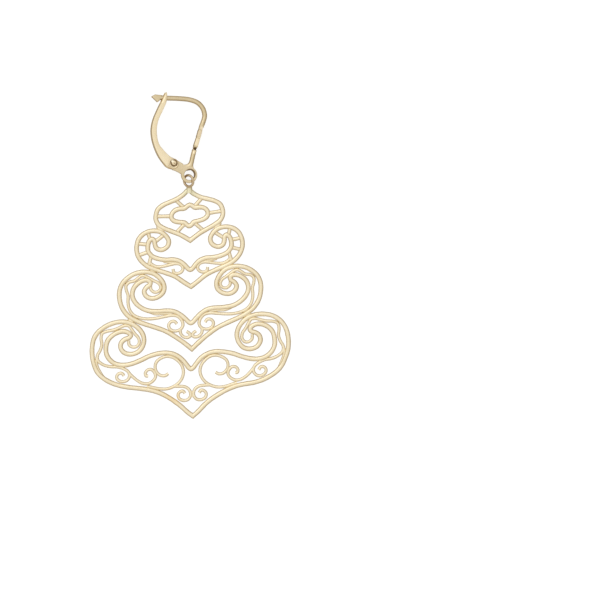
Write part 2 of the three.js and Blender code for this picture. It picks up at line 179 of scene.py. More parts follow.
first_tier = {
    "tip": 9.7,
    "lean": 0.068,
    "drift": 0.02,
    "pointed": True,
    "bends": [],
    "bands": [
        [
            [0, 9.7], [0.95, 9.05], [1.9, 8.45], [3.25, 7.8], [4.6, 7.15], [5.7, 6.4], [6.2, 5.4],
            [6.15, 4.4], [5.75, 3.45], [4.75, 2.75], [3.5, 2.3], [2.2, 1.85], [0.95, 1.12], [0, 0.4],
        ],
    ],
    "vines": [],
    "solder": [],
    "spokes": [
        [[2.45, 2.05], [1.0, 3.45]],
        [[6.1, 4.75], [3.4, 4.95]],
        [[2.5, 8.05], [1.0, 6.65]],
    ],
}
inner_shield = {
    "tip": 3.8,
    "lean": 0.068,
    "drift": -0.039,
    "pointed": False,
    "bends": [],
    "bands": [
        [
            [0, 3.13], [0.5, 3.35], [0.97, 3.7], [1.9, 3.7], [2.7, 3.92], [3.2, 4.39], [3.4, 5.01],
            [3.19, 5.56], [2.6, 5.97], [1.67, 6.2], [0.8, 6.38], [0.43, 6.8], [0, 7.03],
        ],
    ],
    "vines": [],
    "solder": [],
    "spokes": [],
}
drop_parts = wires_of(first_tier) + wires_of(inner_shield)

# Second tier: one loop of heavy wire whose two ends turn into curls, with five short wires across each
# side and a thin wire along the bottom that ends in a small hook. Solder fixes it to the tier above.
second_tier = {
    "tip": 18.25,
    "lean": 0.042,
    "drift": 0.02,
    "pointed": True,
    "bends": [{"out": 5, "down": 11, "reach": 3, "right": 0.12, "up": 0}],
    "bands": [
        [
            [0, 18.25], [1.1, 17.5], [2.9, 16.2], [4.7, 15.4], [6.55, 14.7], [7.95, 14.0], [9.2, 12.75],
            [9.75, 11.4], [9.75, 10.1], [9.25, 8.8], [8.3, 7.95], [6.95, 7.55], [5.45, 7.75], [4.4, 8.5],
            [3.8, 9.6], [4.1, 10.6], [5.2, 11.15], [6.1, 10.8], [6.4, 9.95], [6.45, 9.4], [6.85, 9.05],
            [7.4, 9.4], [7.7, 10.3], [7.65, 11.3], [6.95, 12.25], [5.75, 12.8], [4.45, 13.05], [2.95, 13.1],
            [1.8, 13.5], [0.95, 14.25], [0.4, 14.92], [0, 15.12],
        ],
    ],
    "vines": [
        [
            [7.4, 13.45], [6.8, 13.95], [6.0, 14.25], [4.85, 14.2], [3.75, 14.0], [2.65, 13.85], [1.75, 14.1],
            [1.35, 14.85], [1.7, 15.45], [2.4, 15.7], [3.05, 15.45], [3.2, 14.8],
        ],
        [[4.9, 13.3], [3.75, 13.55], [2.6, 13.55], [1.7, 13.95]],
    ],
    "solder": [[[5.5, 6.6], [5.1, 7.8]]],
    "spokes": [
        [[4.55, 8.35], [6.2, 9.5]],
        [[7.6, 7.75], [7.2, 9.3]],
        [[9.6, 9.75], [7.65, 10.05]],
        [[9.5, 11.95], [7.65, 11.4]],
        [[7.6, 13.8], [7.2, 12.3]],
    ],
}
drop_parts += wires_of(second_tier)

# Third tier: the same loop, wider, with one long thin wire that starts as a hook inside each curl, runs
# round the outside of the tier and ends as a hook near the middle, and a small hook beside the centre.
third_tier = {
    "tip": 29.8,
    "lean": 0.048,
    "drift": 0.02,
    "pointed": True,
    "bends": [
        {"out": 9, "down": 18, "reach": 4.5, "right": 0.22, "up": 0},
        {"out": 5.5, "down": 17.5, "reach": 2.2, "right": 0.2, "up": 0},
    ],
    "bands": [
        [
            [0, 29.8], [1.25, 28.7], [3.05, 27.3], [4.85, 26.15], [6.7, 25.35], [8.55, 24.65], [10.15, 23.9],
            [11.6, 22.9], [12.65, 21.35], [13.05, 19.7], [13.0, 18.25], [12.5, 17.0], [11.5, 16.0],
            [10.15, 15.25], [8.4, 15.0], [6.65, 15.4], [5.45, 16.35], [4.75, 17.6], [4.85, 18.8],
            [5.75, 19.7], [7.05, 20.0], [8.1, 19.5], [8.45, 18.6], [7.95, 17.85], [7.4, 17.5], [7.25, 17.05],
            [7.6, 16.65], [8.35, 16.55], [9.3, 16.9], [10.15, 17.6], [10.6, 18.55], [10.6, 19.6],
            [10.05, 20.7], [9.0, 21.65], [7.7, 22.25], [6.05, 22.45], [4.4, 22.45], [3.1, 22.65],
            [2.0, 23.25], [1.05, 24.1], [0, 25.0],
        ],
    ],
    "vines": [
        [
            [7.25, 17.75], [7.15, 18.4], [6.45, 18.9], [5.65, 18.65], [5.35, 18.0], [5.75, 17.25],
            [6.5, 16.8], [7.35, 16.25], [8.15, 15.8], [8.85, 15.7], [9.45, 16.05], [10.2, 16.55],
            [11.15, 16.75],
            [11.75, 17.3], [11.75, 18.1], [11.45, 19.2], [11.5, 20.55], [11.25, 21.85], [10.5, 22.9],
            [9.25, 23.5], [7.75, 23.75], [6.25, 23.7], [4.8, 23.5], [3.45, 23.35], [2.45, 23.6], [1.7, 24.4],
            [1.5, 25.3], [2.0, 26.05], [3.05, 26.3], [3.9, 25.9], [4.15, 25.15], [3.7, 24.55], [3.05, 24.5],
            [2.6, 25.0],
        ],
        [[7.6, 22.45], [6.45, 22.9], [4.95, 22.9], [3.5, 23.0]],
        [
            [2.0, 25.95], [2.02, 26.5], [1.88, 27.0], [1.33, 27.52], [0.6, 27.62], [0.2, 27.3], [0.38, 26.85],
            [0.9, 26.5],
        ],
    ],
    "solder": [[[6.6, 14.6], [6.9, 15.3]]],
    "spokes": [],
}
drop_parts += wires_of(third_tier)

# Fourth tier: the widest loop, with thin wires all through it: a wavy one round the outside, a second
# strand beside it, a scroll with a hook, a large round scroll, and two small curls soldered together.
fourth_tier = {
    "tip": 42.2,
    "lean": 0.036,
    "drift": 0.022,
    "pointed": True,
    "bends": [
        {"out": 7, "down": 31, "reach": 5, "right": 0.22, "up": -0.3},
        {"out": 12, "down": 36.5, "reach": 2.5, "right": 0, "up": -0.22},
        {"out": 6, "down": 38.5, "reach": 2.5, "right": 0.1, "up": -0.15},
        {"out": 15.5, "down": 25, "reach": 2.5, "right": 0.15, "up": 0.3},
        {"out": 17.8, "down": 33, "reach": 2.2, "right": -0.3, "up": 0},
        {"out": 2, "down": 33.5, "reach": 2.2, "right": 0.4, "up": 0},
        {"out": 11, "down": 26, "reach": 3.2, "right": 0.14, "up": 0.1},
    ],
    "bands": [
        [
            [0, 42.2], [0.9, 41.5], [2.35, 40.1], [4.15, 38.7], [5.95, 37.65], [7.8, 37.0], [9.8, 36.6],
            [11.65, 36.3], [13.5, 35.85], [14.95, 35.25], [16.2, 34.45], [17.3, 33.3], [17.95, 31.7],
            [18.2, 30.1], [18.15, 28.5], [17.8, 27.05], [17.1, 25.95], [15.85, 25.0], [14.35, 24.35],
            [12.6, 24.1], [10.95, 24.45], [9.65, 25.3], [8.8, 26.4], [8.5, 27.6], [8.8, 28.8], [9.65, 29.8],
            [11.0, 30.2], [12.25, 29.85], [12.9, 28.9], [12.75, 28.0], [12.05, 27.4], [11.3, 27.15],
            [10.95, 26.75], [11.2, 26.3], [12.2, 25.9], [13.3, 26.05], [14.45, 26.65], [15.25, 27.5],
            [15.6, 28.7], [15.55, 29.95], [14.95, 31.05], [13.9, 31.85], [12.4, 32.15], [10.85, 31.95],
            [9.25, 31.4], [7.55, 30.7], [5.7, 30.3], [4.2, 30.3], [2.9, 30.7], [1.75, 31.5], [0.9, 32.55],
            [0.4, 33.25], [0, 33.5],
        ],
    ],
    "vines": [
        [
            [11.35, 27.65], [11.3, 28.45], [10.65, 28.9], [9.9, 28.8], [9.4, 28.1], [9.55, 27.25],
            [10.15, 26.5], [10.7, 25.65], [11.25, 24.95], [12.05, 24.85], [12.9, 25.15], [14.05, 25.55],
            [15.35, 25.75], [16.2, 26.1], [16.45, 26.95], [16.35, 28.15], [16.7, 29.2], [17.25, 30.2],
            [17.15, 31.1], [16.3, 31.85], [15.0, 32.3], [13.55, 32.45], [12.35, 32.9], [11.6, 33.5],
            [11.45, 34.3], [11.95, 35.0], [12.85, 35.2], [13.6, 34.85], [13.85, 34.25], [13.45, 33.7],
            [12.85, 33.65], [12.45, 34.15],
        ],
        [[17.2, 30.2], [17.5, 31.2], [17.35, 32.2], [16.9, 33.2], [16.3, 34.2]],
        [
            [11.45, 33.75], [10.85, 34.4], [9.95, 35.2], [9.05, 35.7], [8.0, 35.8], [7.15, 35.35],
            [6.65, 34.65], [6.75, 33.9], [7.3, 33.25], [8.0, 33.25], [8.5, 33.8], [8.4, 34.35], [8.0, 34.4],
        ],
        [
            [4.25, 34.15], [4.9, 34.5], [5.8, 34.35], [6.45, 33.65], [6.65, 32.75], [6.35, 31.85],
            [5.55, 31.25], [4.5, 30.95], [3.4, 31.15], [2.4, 31.85], [1.7, 32.8], [1.45, 33.9], [1.7, 35.0],
            [2.35, 35.9], [3.3, 36.55], [4.65, 36.95], [6.1, 36.85], [7.3, 36.55], [8.3, 36.3],
        ],
        [
            [3.3, 36.55], [2.4, 36.6], [1.4, 36.7], [0.7, 37.1], [0.3, 37.8], [0.35, 38.55], [0.85, 39.15],
            [1.7, 39.25], [2.4, 38.85], [2.6, 38.15], [2.25, 37.65], [1.7, 37.5], [1.3, 37.95],
        ],
    ],
    "solder": [[[10.7, 23.2], [10.9, 24.6]]],
    "spokes": [],
}
drop_parts += wires_of(fourth_tier)
CURL_JOINT = [[-0.08, -37.6, 0], [-0.08, -38.15, 0], [-0.08, -38.7, 0]]
JOINT_WIRE = {**VINE, "width": 0.34, "height": 0.36}
curl_joint = evenly(curve_through(CURL_JOINT), JOINT_WIRE["step"])
drop_parts.append(carried("curl_joint", domed(JOINT_WIRE, len(curl_joint)), curl_joint, (0, 0, 1)))

# Bail ring: a round wire bent to a ring that stands slantwise on the top point of the drop, through the
# eye of the clasp, with a neck of solder below it. With it the drop is complete and becomes one body.
RING_RADIUS = 1.05
RING_WIRE = 0.45
RING_CENTRE = (-0.1, 1.28, 1.2)
RING_TILT_ACROSS = math.radians(-35)
RING_TILT_ALONG = math.radians(10)
RING_STATIONS = 64
RING_SIDES = 16
NECK_LINE = [[0.0, -0.95, 0], [-0.01, -0.55, 0], [-0.02, -0.15, 0], [-0.03, 0.3, 0]]
NECK = {"width": 1.0, "height": 0.86, "flank": 0.3, "around": 18, "step": 0.1}
NECK_FLARE = 0.35


def turned(points, about, angle):
    """Points turned about one of the three axes, by the cosine and sine rule on the other two."""
    first, second = [(1, 2), (2, 0), (0, 1)][about]
    result = points.copy()
    result[..., first] = math.cos(angle) * points[..., first] - math.sin(angle) * points[..., second]
    result[..., second] = math.sin(angle) * points[..., first] + math.cos(angle) * points[..., second]
    return result


def ring_of_wire(radius, wire, stations, around):
    """Ring about the Z axis: a circle of the wire's radius carried round a circle of the ring's radius."""
    turn = 2 * np.pi * np.arange(stations)[:, None] / stations
    angle = 2 * np.pi * np.arange(around)[None, :] / around
    reach = radius + 0.5 * wire * np.cos(angle)
    rise = 0.5 * wire * np.sin(angle) + 0 * turn
    return np.stack([reach * np.cos(turn), reach * np.sin(turn), rise], axis=-1)


ring_grid = ring_of_wire(RING_RADIUS, RING_WIRE, RING_STATIONS, RING_SIDES)
ring_grid = turned(turned(ring_grid, 1, RING_TILT_ACROSS), 0, RING_TILT_ALONG) + RING_CENTRE
drop_parts.append(solid_of("bail_ring", ring_grid, closed=True))

neck = evenly(curve_through(NECK_LINE), NECK["step"])
neck_profile = domed(NECK, len(neck))
neck_profile[..., 0] *= 1 + NECK_FLARE * np.linspace(1, 0, len(neck))[:, None] ** 2
drop_parts.append(carried("neck", neck_profile, neck, (0, 0, 1)))


def fused(name, parts, cuts=(), crease=42):
    """One body out of overlapping solids, joined one after another, with the cuts' shapes then taken out
    of it. Edges sharper than the crease angle stay sharp, and the rest is smooth."""
    body = parts[0]
    steps = [("UNION", part) for part in parts[1:]] + [("DIFFERENCE", cut) for cut in cuts]
    for operation, other in steps:
        step = body.modifiers.new(operation.lower(), "BOOLEAN")
        step.operation = operation
        step.solver = "MANIFOLD"
        step.object = other
    mesh = bpy.data.meshes.new_from_object(body.evaluated_get(bpy.context.evaluated_depsgraph_get()))
    for part in [*parts, *cuts]:
        bpy.data.objects.remove(part)
    mesh.name = name
    mesh.polygons.foreach_set("use_smooth", np.ones(len(mesh.polygons), bool))
    mesh.set_sharp_from_angle(angle=math.radians(crease))
    whole = bpy.data.objects.new(name, mesh)
    bpy.context.scene.collection.objects.link(whole)
    return whole


TINT_SCALE = 420
POLISH_SCALE = 900
DENT_SCALE = 1500
GRAIN_SCALE = 9000
DENT_DEPTH = 0.00006
GRAIN_DEPTH = 0.00001
ROUGHER = 0.07
SMOOTHER = 0.05


def gold(name, colour, deep, roughness, grain, dent, patches=()):
    """Pale gold: a metal whose tint wanders a little between two alloys' colours, whose polish is duller in
    patches, and whose surface carries a fine cast grain and broader dents. Within a patch's reach of its
    place the metal takes the patch's colour, which fades out over the patch's edge. Most patches are painted
    shade, painted highlights or painted reflections; a few give a part its own colour, as the solder's and
    the rivet head's."""
    material = bpy.data.materials.new(name)
    material.use_nodes = True
    nodes = material.node_tree.nodes
    link = material.node_tree.links.new
    shader = nodes["Principled BSDF"]
    shader.inputs["Metallic"].default_value = 1.0
    place = nodes.new("ShaderNodeTexCoord")

    def noise(scale, detail):
        node = nodes.new("ShaderNodeTexNoise")
        node.inputs["Scale"].default_value = scale
        node.inputs["Detail"].default_value = detail
        link(place.outputs["Object"], node.inputs["Vector"])
        return node.outputs["Fac"]

    tint = nodes.new("ShaderNodeValToRGB")
    tint.color_ramp.elements[0].position = 0.38
    tint.color_ramp.elements[0].color = (*deep, 1)
    tint.color_ramp.elements[1].position = 0.62
    tint.color_ramp.elements[1].color = (*colour, 1)
    link(noise(TINT_SCALE, 3), tint.inputs["Fac"])
    colour_out = tint.outputs["Color"]
    for patch in patches:
        away = nodes.new("ShaderNodeVectorMath")
        away.operation = "DISTANCE"
        away.inputs[1].default_value = [MM * place_along for place_along in patch["place"]]
        link(place.outputs["Object"], away.inputs[0])
        near = nodes.new("ShaderNodeMapRange")
        near.inputs["From Min"].default_value = MM * patch["reach"]
        near.inputs["From Max"].default_value = MM * (patch["reach"] - patch["edge"])
        link(away.outputs["Value"], near.inputs["Value"])
        mixed = nodes.new("ShaderNodeMix")
        mixed.data_type = "RGBA"
        mixed.inputs["B"].default_value = (*patch["colour"], 1)
        link(near.outputs["Result"], mixed.inputs["Factor"])
        link(colour_out, mixed.inputs["A"])
        colour_out = mixed.outputs["Result"]
    link(colour_out, shader.inputs["Base Color"])

    polish = nodes.new("ShaderNodeMapRange")
    polish.inputs["From Min"].default_value = 0.3
    polish.inputs["From Max"].default_value = 0.7
    polish.inputs["To Min"].default_value = roughness - SMOOTHER
    polish.inputs["To Max"].default_value = roughness + ROUGHER
    link(noise(POLISH_SCALE, 4), polish.inputs["Value"])
    link(polish.outputs["Result"], shader.inputs["Roughness"])

    broad = nodes.new("ShaderNodeBump")
    broad.inputs["Strength"].default_value = dent
    broad.inputs["Distance"].default_value = DENT_DEPTH
    link(noise(DENT_SCALE, 2), broad.inputs["Height"])
    fine = nodes.new("ShaderNodeBump")
    fine.inputs["Strength"].default_value = grain
    fine.inputs["Distance"].default_value = GRAIN_DEPTH
    link(noise(GRAIN_SCALE, 3), fine.inputs["Height"])
    link(broad.outputs["Normal"], fine.inputs["Normal"])
    link(fine.outputs["Normal"], shader.inputs["Normal"])
    return material


drop = fused("soldered_drop", drop_parts)
drop.data.materials.clear()
neck_solder = {"place": (0, -0.4, 0.6), "reach": 2.2, "edge": 1.3, "colour": (0.77, 0.71, 0.48)}
# Painted shade: the bail ring is painted darker brown than the rest of the gold.
ring_painted_shade = {"place": RING_CENTRE, "reach": 1.6, "edge": 0.5, "colour": (0.60, 0.46, 0.29)}
# Painted reflection: a warm orange-tan patch low on the fourth tier.
painted_warm_reflection = {"place": (-3.7, -38.6, 0.4), "reach": 2.2, "edge": 1.8, "colour": (0.90, 0.71, 0.42)}
drop_patches = [neck_solder, ring_painted_shade, painted_warm_reflection]
cast_gold = gold("cast_pale_gold", (0.905, 0.79, 0.56), (0.865, 0.745, 0.51), 0.25, 0.4, 0.45, drop_patches)
drop.data.materials.append(cast_gold)
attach(drop, "earring")
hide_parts("filigree_drop")

# Ear wire: a round wire 0.9 mm thick bent over the ear, with a flat strip soldered in for its front. The
# strip stands on edge and is cut in facets. The free end is forged to a hook, and the foot is soldered
# to the hinge plate. The clasp is drawn flat, then rolled onto its side and lifted as it lies.
CLASP_ROLL = math.radians(12)
CLASP_LIFT = 1.28
WIRE_DIAMETER = 0.9
FOOT_DIAMETER = 0.86
FRONT_WIDTH = 1.3
FRONT_THICKNESS = 0.76
OUT_OF_CLASP = (0, 0, 1)


def flat(points):
    """Points of the clasp's plane with a third coordinate of zero."""
    points = np.asarray(points, float)
    return np.column_stack([points, np.zeros(len(points))])


def circle(radius, around):
    """Profile of a round wire: the cosine and the sine of evenly spaced angles."""
    angle = 2 * np.pi * np.arange(around) / around
    return radius * np.column_stack([np.cos(angle), np.sin(angle)])


def softened(corners, radius, steps=4):
    """An outline with its corners rounded: each becomes a short parabola between two points that lie the
    radius away from it along its two sides."""
    corners = np.asarray(corners, float)
    to_before = np.roll(corners, 1, axis=-2) - corners
    to_after = np.roll(corners, -1, axis=-2) - corners
    to_before *= radius / np.linalg.norm(to_before, axis=-1, keepdims=True)
    to_after *= radius / np.linalg.norm(to_after, axis=-1, keepdims=True)
    t = np.linspace(0, 1, steps)[:, None]
    bend = corners[..., None, :] + (1 - t) ** 2 * to_before[..., None, :] + t**2 * to_after[..., None, :]
    return bend.reshape(corners.shape[:-2] + (-1, 2))


def slab(name, outline, low, high, edge):
    """A plate: its outline stacked from one face to the other, drawn in about its middle near both faces
    by one minus the cosine of a quarter turn, which rounds the edges."""
    quarter = np.linspace(0, np.pi / 2, 4)
    rise = edge * (1 - np.sin(quarter))
    levels = np.concatenate([low + rise[::-1], high - rise])
    inset = edge * (1 - np.cos(quarter))
    inset = np.concatenate([inset[::-1], inset])
    middle = outline.mean(axis=0)
    reach = np.linalg.norm(outline - middle, axis=1)
    share = 1 - inset[:, None] / reach[None, :]
    rows = middle + (outline - middle)[None] * share[..., None]
    grid = np.concatenate([rows, np.broadcast_to(levels[:, None, None], rows.shape[:2] + (1,))], axis=-1)
    return solid_of(name, grid)


HOOP_LINE = [
    [2.4, 11.2], [2.85, 12.3], [3.1, 13.3], [2.8, 14.6], [1.85, 15.7], [0.45, 16.25], [-1.55, 16.5],
    [-3.9, 16.6], [-5.5, 16.7],
]
FRONT_LINE = [[0.95, 6.7], [1.25, 7.6], [1.75, 9.1], [2.25, 10.8], [2.55, 11.7]]
FOOT_LINE = [[0.3, 3.9], [0.55, 5.0], [0.85, 6.2], [1.08, 7.0]]
HOOK_CORNERS = [[-4.9, 17.15], [-6.2, 17.28], [-6.88, 16.88], [-5.75, 15.8], [-5.2, 16.3]]
HOOK_THICKNESS = 0.84
HOOP_STEP = 0.15
FRONT_STEP = 0.06
FOOT_STEP = 0.1
hoop = evenly(curve_through(flat(HOOP_LINE)), HOOP_STEP)
front = evenly(curve_through(flat(FRONT_LINE)), FRONT_STEP)
foot = evenly(curve_through(flat(FOOT_LINE)), FOOT_STEP)
hook_outline = softened(HOOK_CORNERS, 0.12)

# The front is cut in facets. Each row is a place along it, as a share of its length, with the share of
# the full depth and of the full thickness that the cuts leave there.
FRONT_CUTS = np.array([
    [0.00, 0.90, 0.90], [0.05, 0.90, 0.90], [0.06, 0.15, 0.75], [0.17, 0.96, 0.85], [0.20, 0.98, 1.00],
    [0.48, 0.92, 0.92], [0.50, 0.76, 0.82], [0.53, 0.80, 1.00], [0.78, 0.94, 0.92], [0.80, 0.80, 0.82],
    [0.88, 0.66, 0.90], [1.00, 0.66, 0.90],
])
half_width = FRONT_WIDTH / 2
half_thick = FRONT_THICKNESS / 2
strip = softened([
    [-half_thick, -half_width], [half_thick, -half_width],
    [half_thick, half_width], [-half_thick, half_width],
], 0.07, 3)
share_run = np.linspace(0, 1, len(front))
depth_left, thickness_left = (np.interp(share_run, FRONT_CUTS[:, 0], cut) for cut in FRONT_CUTS[:, 1:].T)
strip = np.broadcast_to(strip, (len(front),) + strip.shape).copy()
strip[..., 0] *= thickness_left[:, None]
strip[..., 1] *= depth_left[:, None]

# The foot widens to the left where it runs into the plate.
FOOT_SIDES = 20
FOOT_FLARE = 1.5
FLARE_RUN = 3.2
flare = np.clip(1 - np.linspace(0, FLARE_RUN, len(foot)), 0, 1) ** 2
foot_profile = np.broadcast_to(circle(FOOT_DIAMETER / 2, FOOT_SIDES), (len(foot), FOOT_SIDES, 2)).copy()
foot_profile[..., 0] *= 1 + FOOT_FLARE * flare[:, None] * (foot_profile[..., 0] < 0)

ear_wire_parts = [
    carried("hoop", circle(WIRE_DIAMETER / 2, 24), hoop, OUT_OF_CLASP),
    carried("front", strip, front, OUT_OF_CLASP),
    carried("foot", foot_profile, foot, OUT_OF_CLASP),
    slab("hook", hook_outline, -HOOK_THICKNESS / 2, HOOK_THICKNESS / 2, 0.16),
]

# Hinge plate: stamped with the eye that the bail ring hangs in at one end and the pivot hole at the
# other. It is the foot of the ear wire, so it belongs to the same body.
EYE_CENTRE = (0.0, 2.37)
EYE_RADIUS = 1.5
EYE_HOLE = 0.935
PLATE_THICKNESS = 0.62
PIN_CENTRE = (-2.97, 4.6)
PIN_RADIUS = 0.4
RUN_GAP = 0.05


def washer(name, centre, hole, rim, low, high, edge, stations=64):
    """A flat ring: a rectangle with soft corners carried round a circle."""
    turn = 2 * np.pi * np.arange(stations) / stations
    middle = (hole + rim) / 2
    path = np.column_stack([centre[0] + middle * np.cos(turn), centre[1] + middle * np.sin(turn), 0 * turn])
    half = (rim - hole) / 2
    profile = softened([[-half, low], [half, low], [half, high], [-half, high]], edge)
    return carried(name, profile, path, OUT_OF_CLASP, closed=True)


half_plate = PLATE_THICKNESS / 2
arm_outline = softened([
    [-3.4, 4.9], [-3.0, 5.2], [-2.4, 5.17], [-1.9, 4.92], [-1.1, 4.42], [-0.9, 3.5], [-1.4, 2.5],
    [-2.2, 2.95], [-2.6, 3.15], [-3.1, 3.3], [-3.5, 3.75],
], 0.1)
web_outline = softened([
    [-1.5, 3.0], [-1.3, 4.3], [-0.65, 4.3], [-0.1, 4.45], [0.5, 4.75], [0.8, 3.95], [0.9, 3.35],
], 0.12)
ear_wire_parts += [
    washer("eye", EYE_CENTRE, EYE_HOLE, EYE_RADIUS, -half_plate, half_plate, 0.12),
    slab("arm", arm_outline, -half_plate, half_plate, 0.1),
    slab("web", web_outline, -half_plate, half_plate, 0.12),
]


def cylinder(name, centre, radius, low, high, around=48):
    """A plain round bar across the clasp: the same circle at a low and a high level."""
    outline = circle(radius, around) + centre
    grid = np.array([np.column_stack([outline, np.full(around, level)]) for level in (low, high)])
    return solid_of(name, grid)


pin_drill = cylinder("pin_drill", PIN_CENTRE, PIN_RADIUS + RUN_GAP / 2, -1, 1)


def laid_in_clasp(piece):
    """Takes a piece drawn flat to where the clasp lies: rolled about the long axis, then lifted."""
    points = np.empty(len(piece.data.vertices) * 3)
    piece.data.vertices.foreach_get("co", points)
    points = turned(points.reshape(-1, 3), 1, CLASP_ROLL) + np.array([0, 0, CLASP_LIFT * MM])
    piece.data.vertices.foreach_set("co", points.ravel())
    piece.data.update()
    return piece


def in_clasp(across, along, above):
    """Where a point of the flat drawing of the clasp lies once it is rolled and lifted."""
    return turned(np.array([across, along, above]), 1, CLASP_ROLL) + [0, 0, CLASP_LIFT]


# Painted shade: the bore of the eye is painted dark brown.
PAINTED_BORE_SHADE = (0.24, 0.16, 0.08)
# Painted shade: the notch near the bottom of the front is painted dark.
PAINTED_NOTCH_SHADE = (0.32, 0.25, 0.16)
# Painted shade and light on the front's facets: one facet is painted tan as shaded, another cream as lit.
PAINTED_SHADED_FACET = (0.80, 0.66, 0.44)
PAINTED_LIT_FACET = (0.92, 0.78, 0.53)
# Painted highlights: bright spots near the top of the front and on the top of the foot.
PAINTED_HIGHLIGHT = (0.94, 0.80, 0.55)
# Where the painted shade and painted highlights lie on the clasp.
clasp_painted_light = [
    {"place": in_clasp(0.16, 2.5, 0.2), "reach": 1.06, "edge": 0.06, "colour": PAINTED_BORE_SHADE},
    {"place": in_clasp(2.3, 10.05, 0.6), "reach": 0.85, "edge": 0.1, "colour": PAINTED_SHADED_FACET},
    {"place": in_clasp(1.72, 8.5, 0.6), "reach": 0.9, "edge": 0.1, "colour": PAINTED_LIT_FACET},
    {"place": in_clasp(2.5, 11.0, 0.5), "reach": 0.4, "edge": 0.15, "colour": PAINTED_HIGHLIGHT},
    {"place": in_clasp(1.0, 6.55, 0.4), "reach": 0.4, "edge": 0.15, "colour": PAINTED_HIGHLIGHT},
    {"place": in_clasp(1.2, 7.25, 0.3), "reach": 0.42, "edge": 0.1, "colour": PAINTED_NOTCH_SHADE},
]
# Painted shade: the ear wire and plate are the lever's gold painted darker, as shade.
CLASP_SHADED_COLOUR = (0.75, 0.62, 0.40)
CLASP_SHADED_DEEP = (0.69, 0.565, 0.345)
clasp_gold = gold("clasp_gold_painted_darker", CLASP_SHADED_COLOUR, CLASP_SHADED_DEEP, 0.2, 0.2, 0.3, clasp_painted_light)
ear_wire = laid_in_clasp(fused("bent_ear_wire", ear_wire_parts, cuts=[pin_drill], crease=30))
ear_wire.data.materials.clear()
ear_wire.data.materials.append(clasp_gold)
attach(ear_wire, "earring")
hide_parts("ear_wire")

# Lever: sheet gold folded to a channel whose back is the outer side, tapered to a fork at the top that
# straddles the hook, and widened at the foot to two round ears that turn on the rivet.
LEVER_WIDTH = 1.7
LEVER_WALL = 0.28
LEVER_SPINE = 0.32
EAR_CENTRE = (-3.05, 4.43)
EAR_DISH = [
    [0.0, 0.0], [0.96, 0.0], [1.0, 0.08], [0.99, 0.16], [0.95, 0.24], [0.9, 0.28], [0.84, 0.3],
    [0.78, 0.29], [0.72, 0.25], [0.62, 0.23], [0.0, 0.23],
]
LEVER_OUTER = [
    [-4.2, 17.7], [-4.5, 17.2], [-5.15, 15.8], [-6.04, 14.0], [-6.7, 12.4], [-7.0, 10.75], [-6.9, 9.2],
    [-6.44, 7.45], [-5.68, 5.75], [-4.8, 4.5], [-4.35, 3.95], [-3.6, 3.5],
]
LEVER_INNER = [
    [-4.12, 17.7], [-4.0, 17.2], [-4.15, 15.9], [-4.9, 14.2], [-5.65, 12.65], [-6.02, 11.1], [-6.0, 9.6],
    [-5.62, 8.05], [-4.65, 6.78], [-3.75, 5.88], [-3.3, 5.62], [-2.9, 5.42],
]
edge_out = curve_through(LEVER_OUTER, 24)
edge_in = curve_through(LEVER_INNER, 24)
FORK_END = 0.19
HEEL = 0.82


def between_edges(name, base, share, across, start, end):
    """A profile spread between the lever's two edges: each of its points lies at a fixed distance in from
    the outer edge plus a share of the lever's depth there, and at its own place across the clasp."""
    rows = np.arange(round(start * (len(edge_out) - 1)), round(end * (len(edge_out) - 1)) + 1, 2)
    outer = edge_out[rows]
    depth = np.linalg.norm(edge_in[rows] - outer, axis=1)
    inward = (edge_in[rows] - outer) / depth[:, None]
    corners = np.stack([
        np.minimum(np.asarray(base)[None, :] + np.asarray(share)[None, :] * depth[:, None], depth[:, None]),
        np.broadcast_to(across, (len(rows), len(across))),
    ], axis=-1)
    profile = softened(corners, np.minimum(0.1, 0.2 * depth)[:, None, None])
    plane = outer[:, None] + profile[..., :1] * inward[:, None]
    return solid_of(name, np.concatenate([plane, profile[..., 1:]], axis=-1))


def lathed(name, profile, centre, around=64):
    """A profile of radius against height turned about an axis across the clasp."""
    rows = [np.column_stack([circle(max(radius, 1e-4), around) + centre, np.full(around, level)])
            for radius, level in profile]
    return solid_of(name, np.array(rows))


# A wall's section: the share of the lever's depth, and the height above the wall's inner face. Its outer
# face is a little crowned. The ear's is a radius and the same height.
WALL_SECTION = [
    [0, 0], [1, 0], [1, LEVER_WALL - 0.08], [0.8, LEVER_WALL - 0.02], [0.5, LEVER_WALL],
    [0.25, LEVER_WALL - 0.04], [0.1, LEVER_WALL - 0.12], [0, 0.06],
]
half_lever = LEVER_WIDTH / 2
inner_face = half_lever - LEVER_WALL
channel = between_edges(
    "channel",
    base=[0, 0, 0, 0, LEVER_SPINE, LEVER_SPINE, 0, 0],
    share=[0, 0, 1, 1, 0, 0, 1, 1],
    across=[
        -half_lever, half_lever, half_lever, inner_face, inner_face, -inner_face, -inner_face, -half_lever,
    ],
    start=FORK_END,
    end=HEEL,
)
lever_parts = [channel]
for side in (-1, 1):
    wall_share = [share for share, rise in WALL_SECTION]
    wall_across = [side * (inner_face + rise) for share, rise in WALL_SECTION]
    lever_parts.append(between_edges("wall", [0] * len(wall_share), wall_share, wall_across, 0.0, 1.0))
    dish = [[radius, side * (inner_face + rise)] for radius, rise in EAR_DISH]
    lever_parts.append(lathed("ear", dish, EAR_CENTRE))
rivet_drill = cylinder("rivet_drill", PIN_CENTRE, PIN_RADIUS + RUN_GAP, -2, 2)
lever_piece = laid_in_clasp(fused("channel_lever", lever_parts, cuts=[rivet_drill], crease=35))
lever_piece.data.materials.clear()
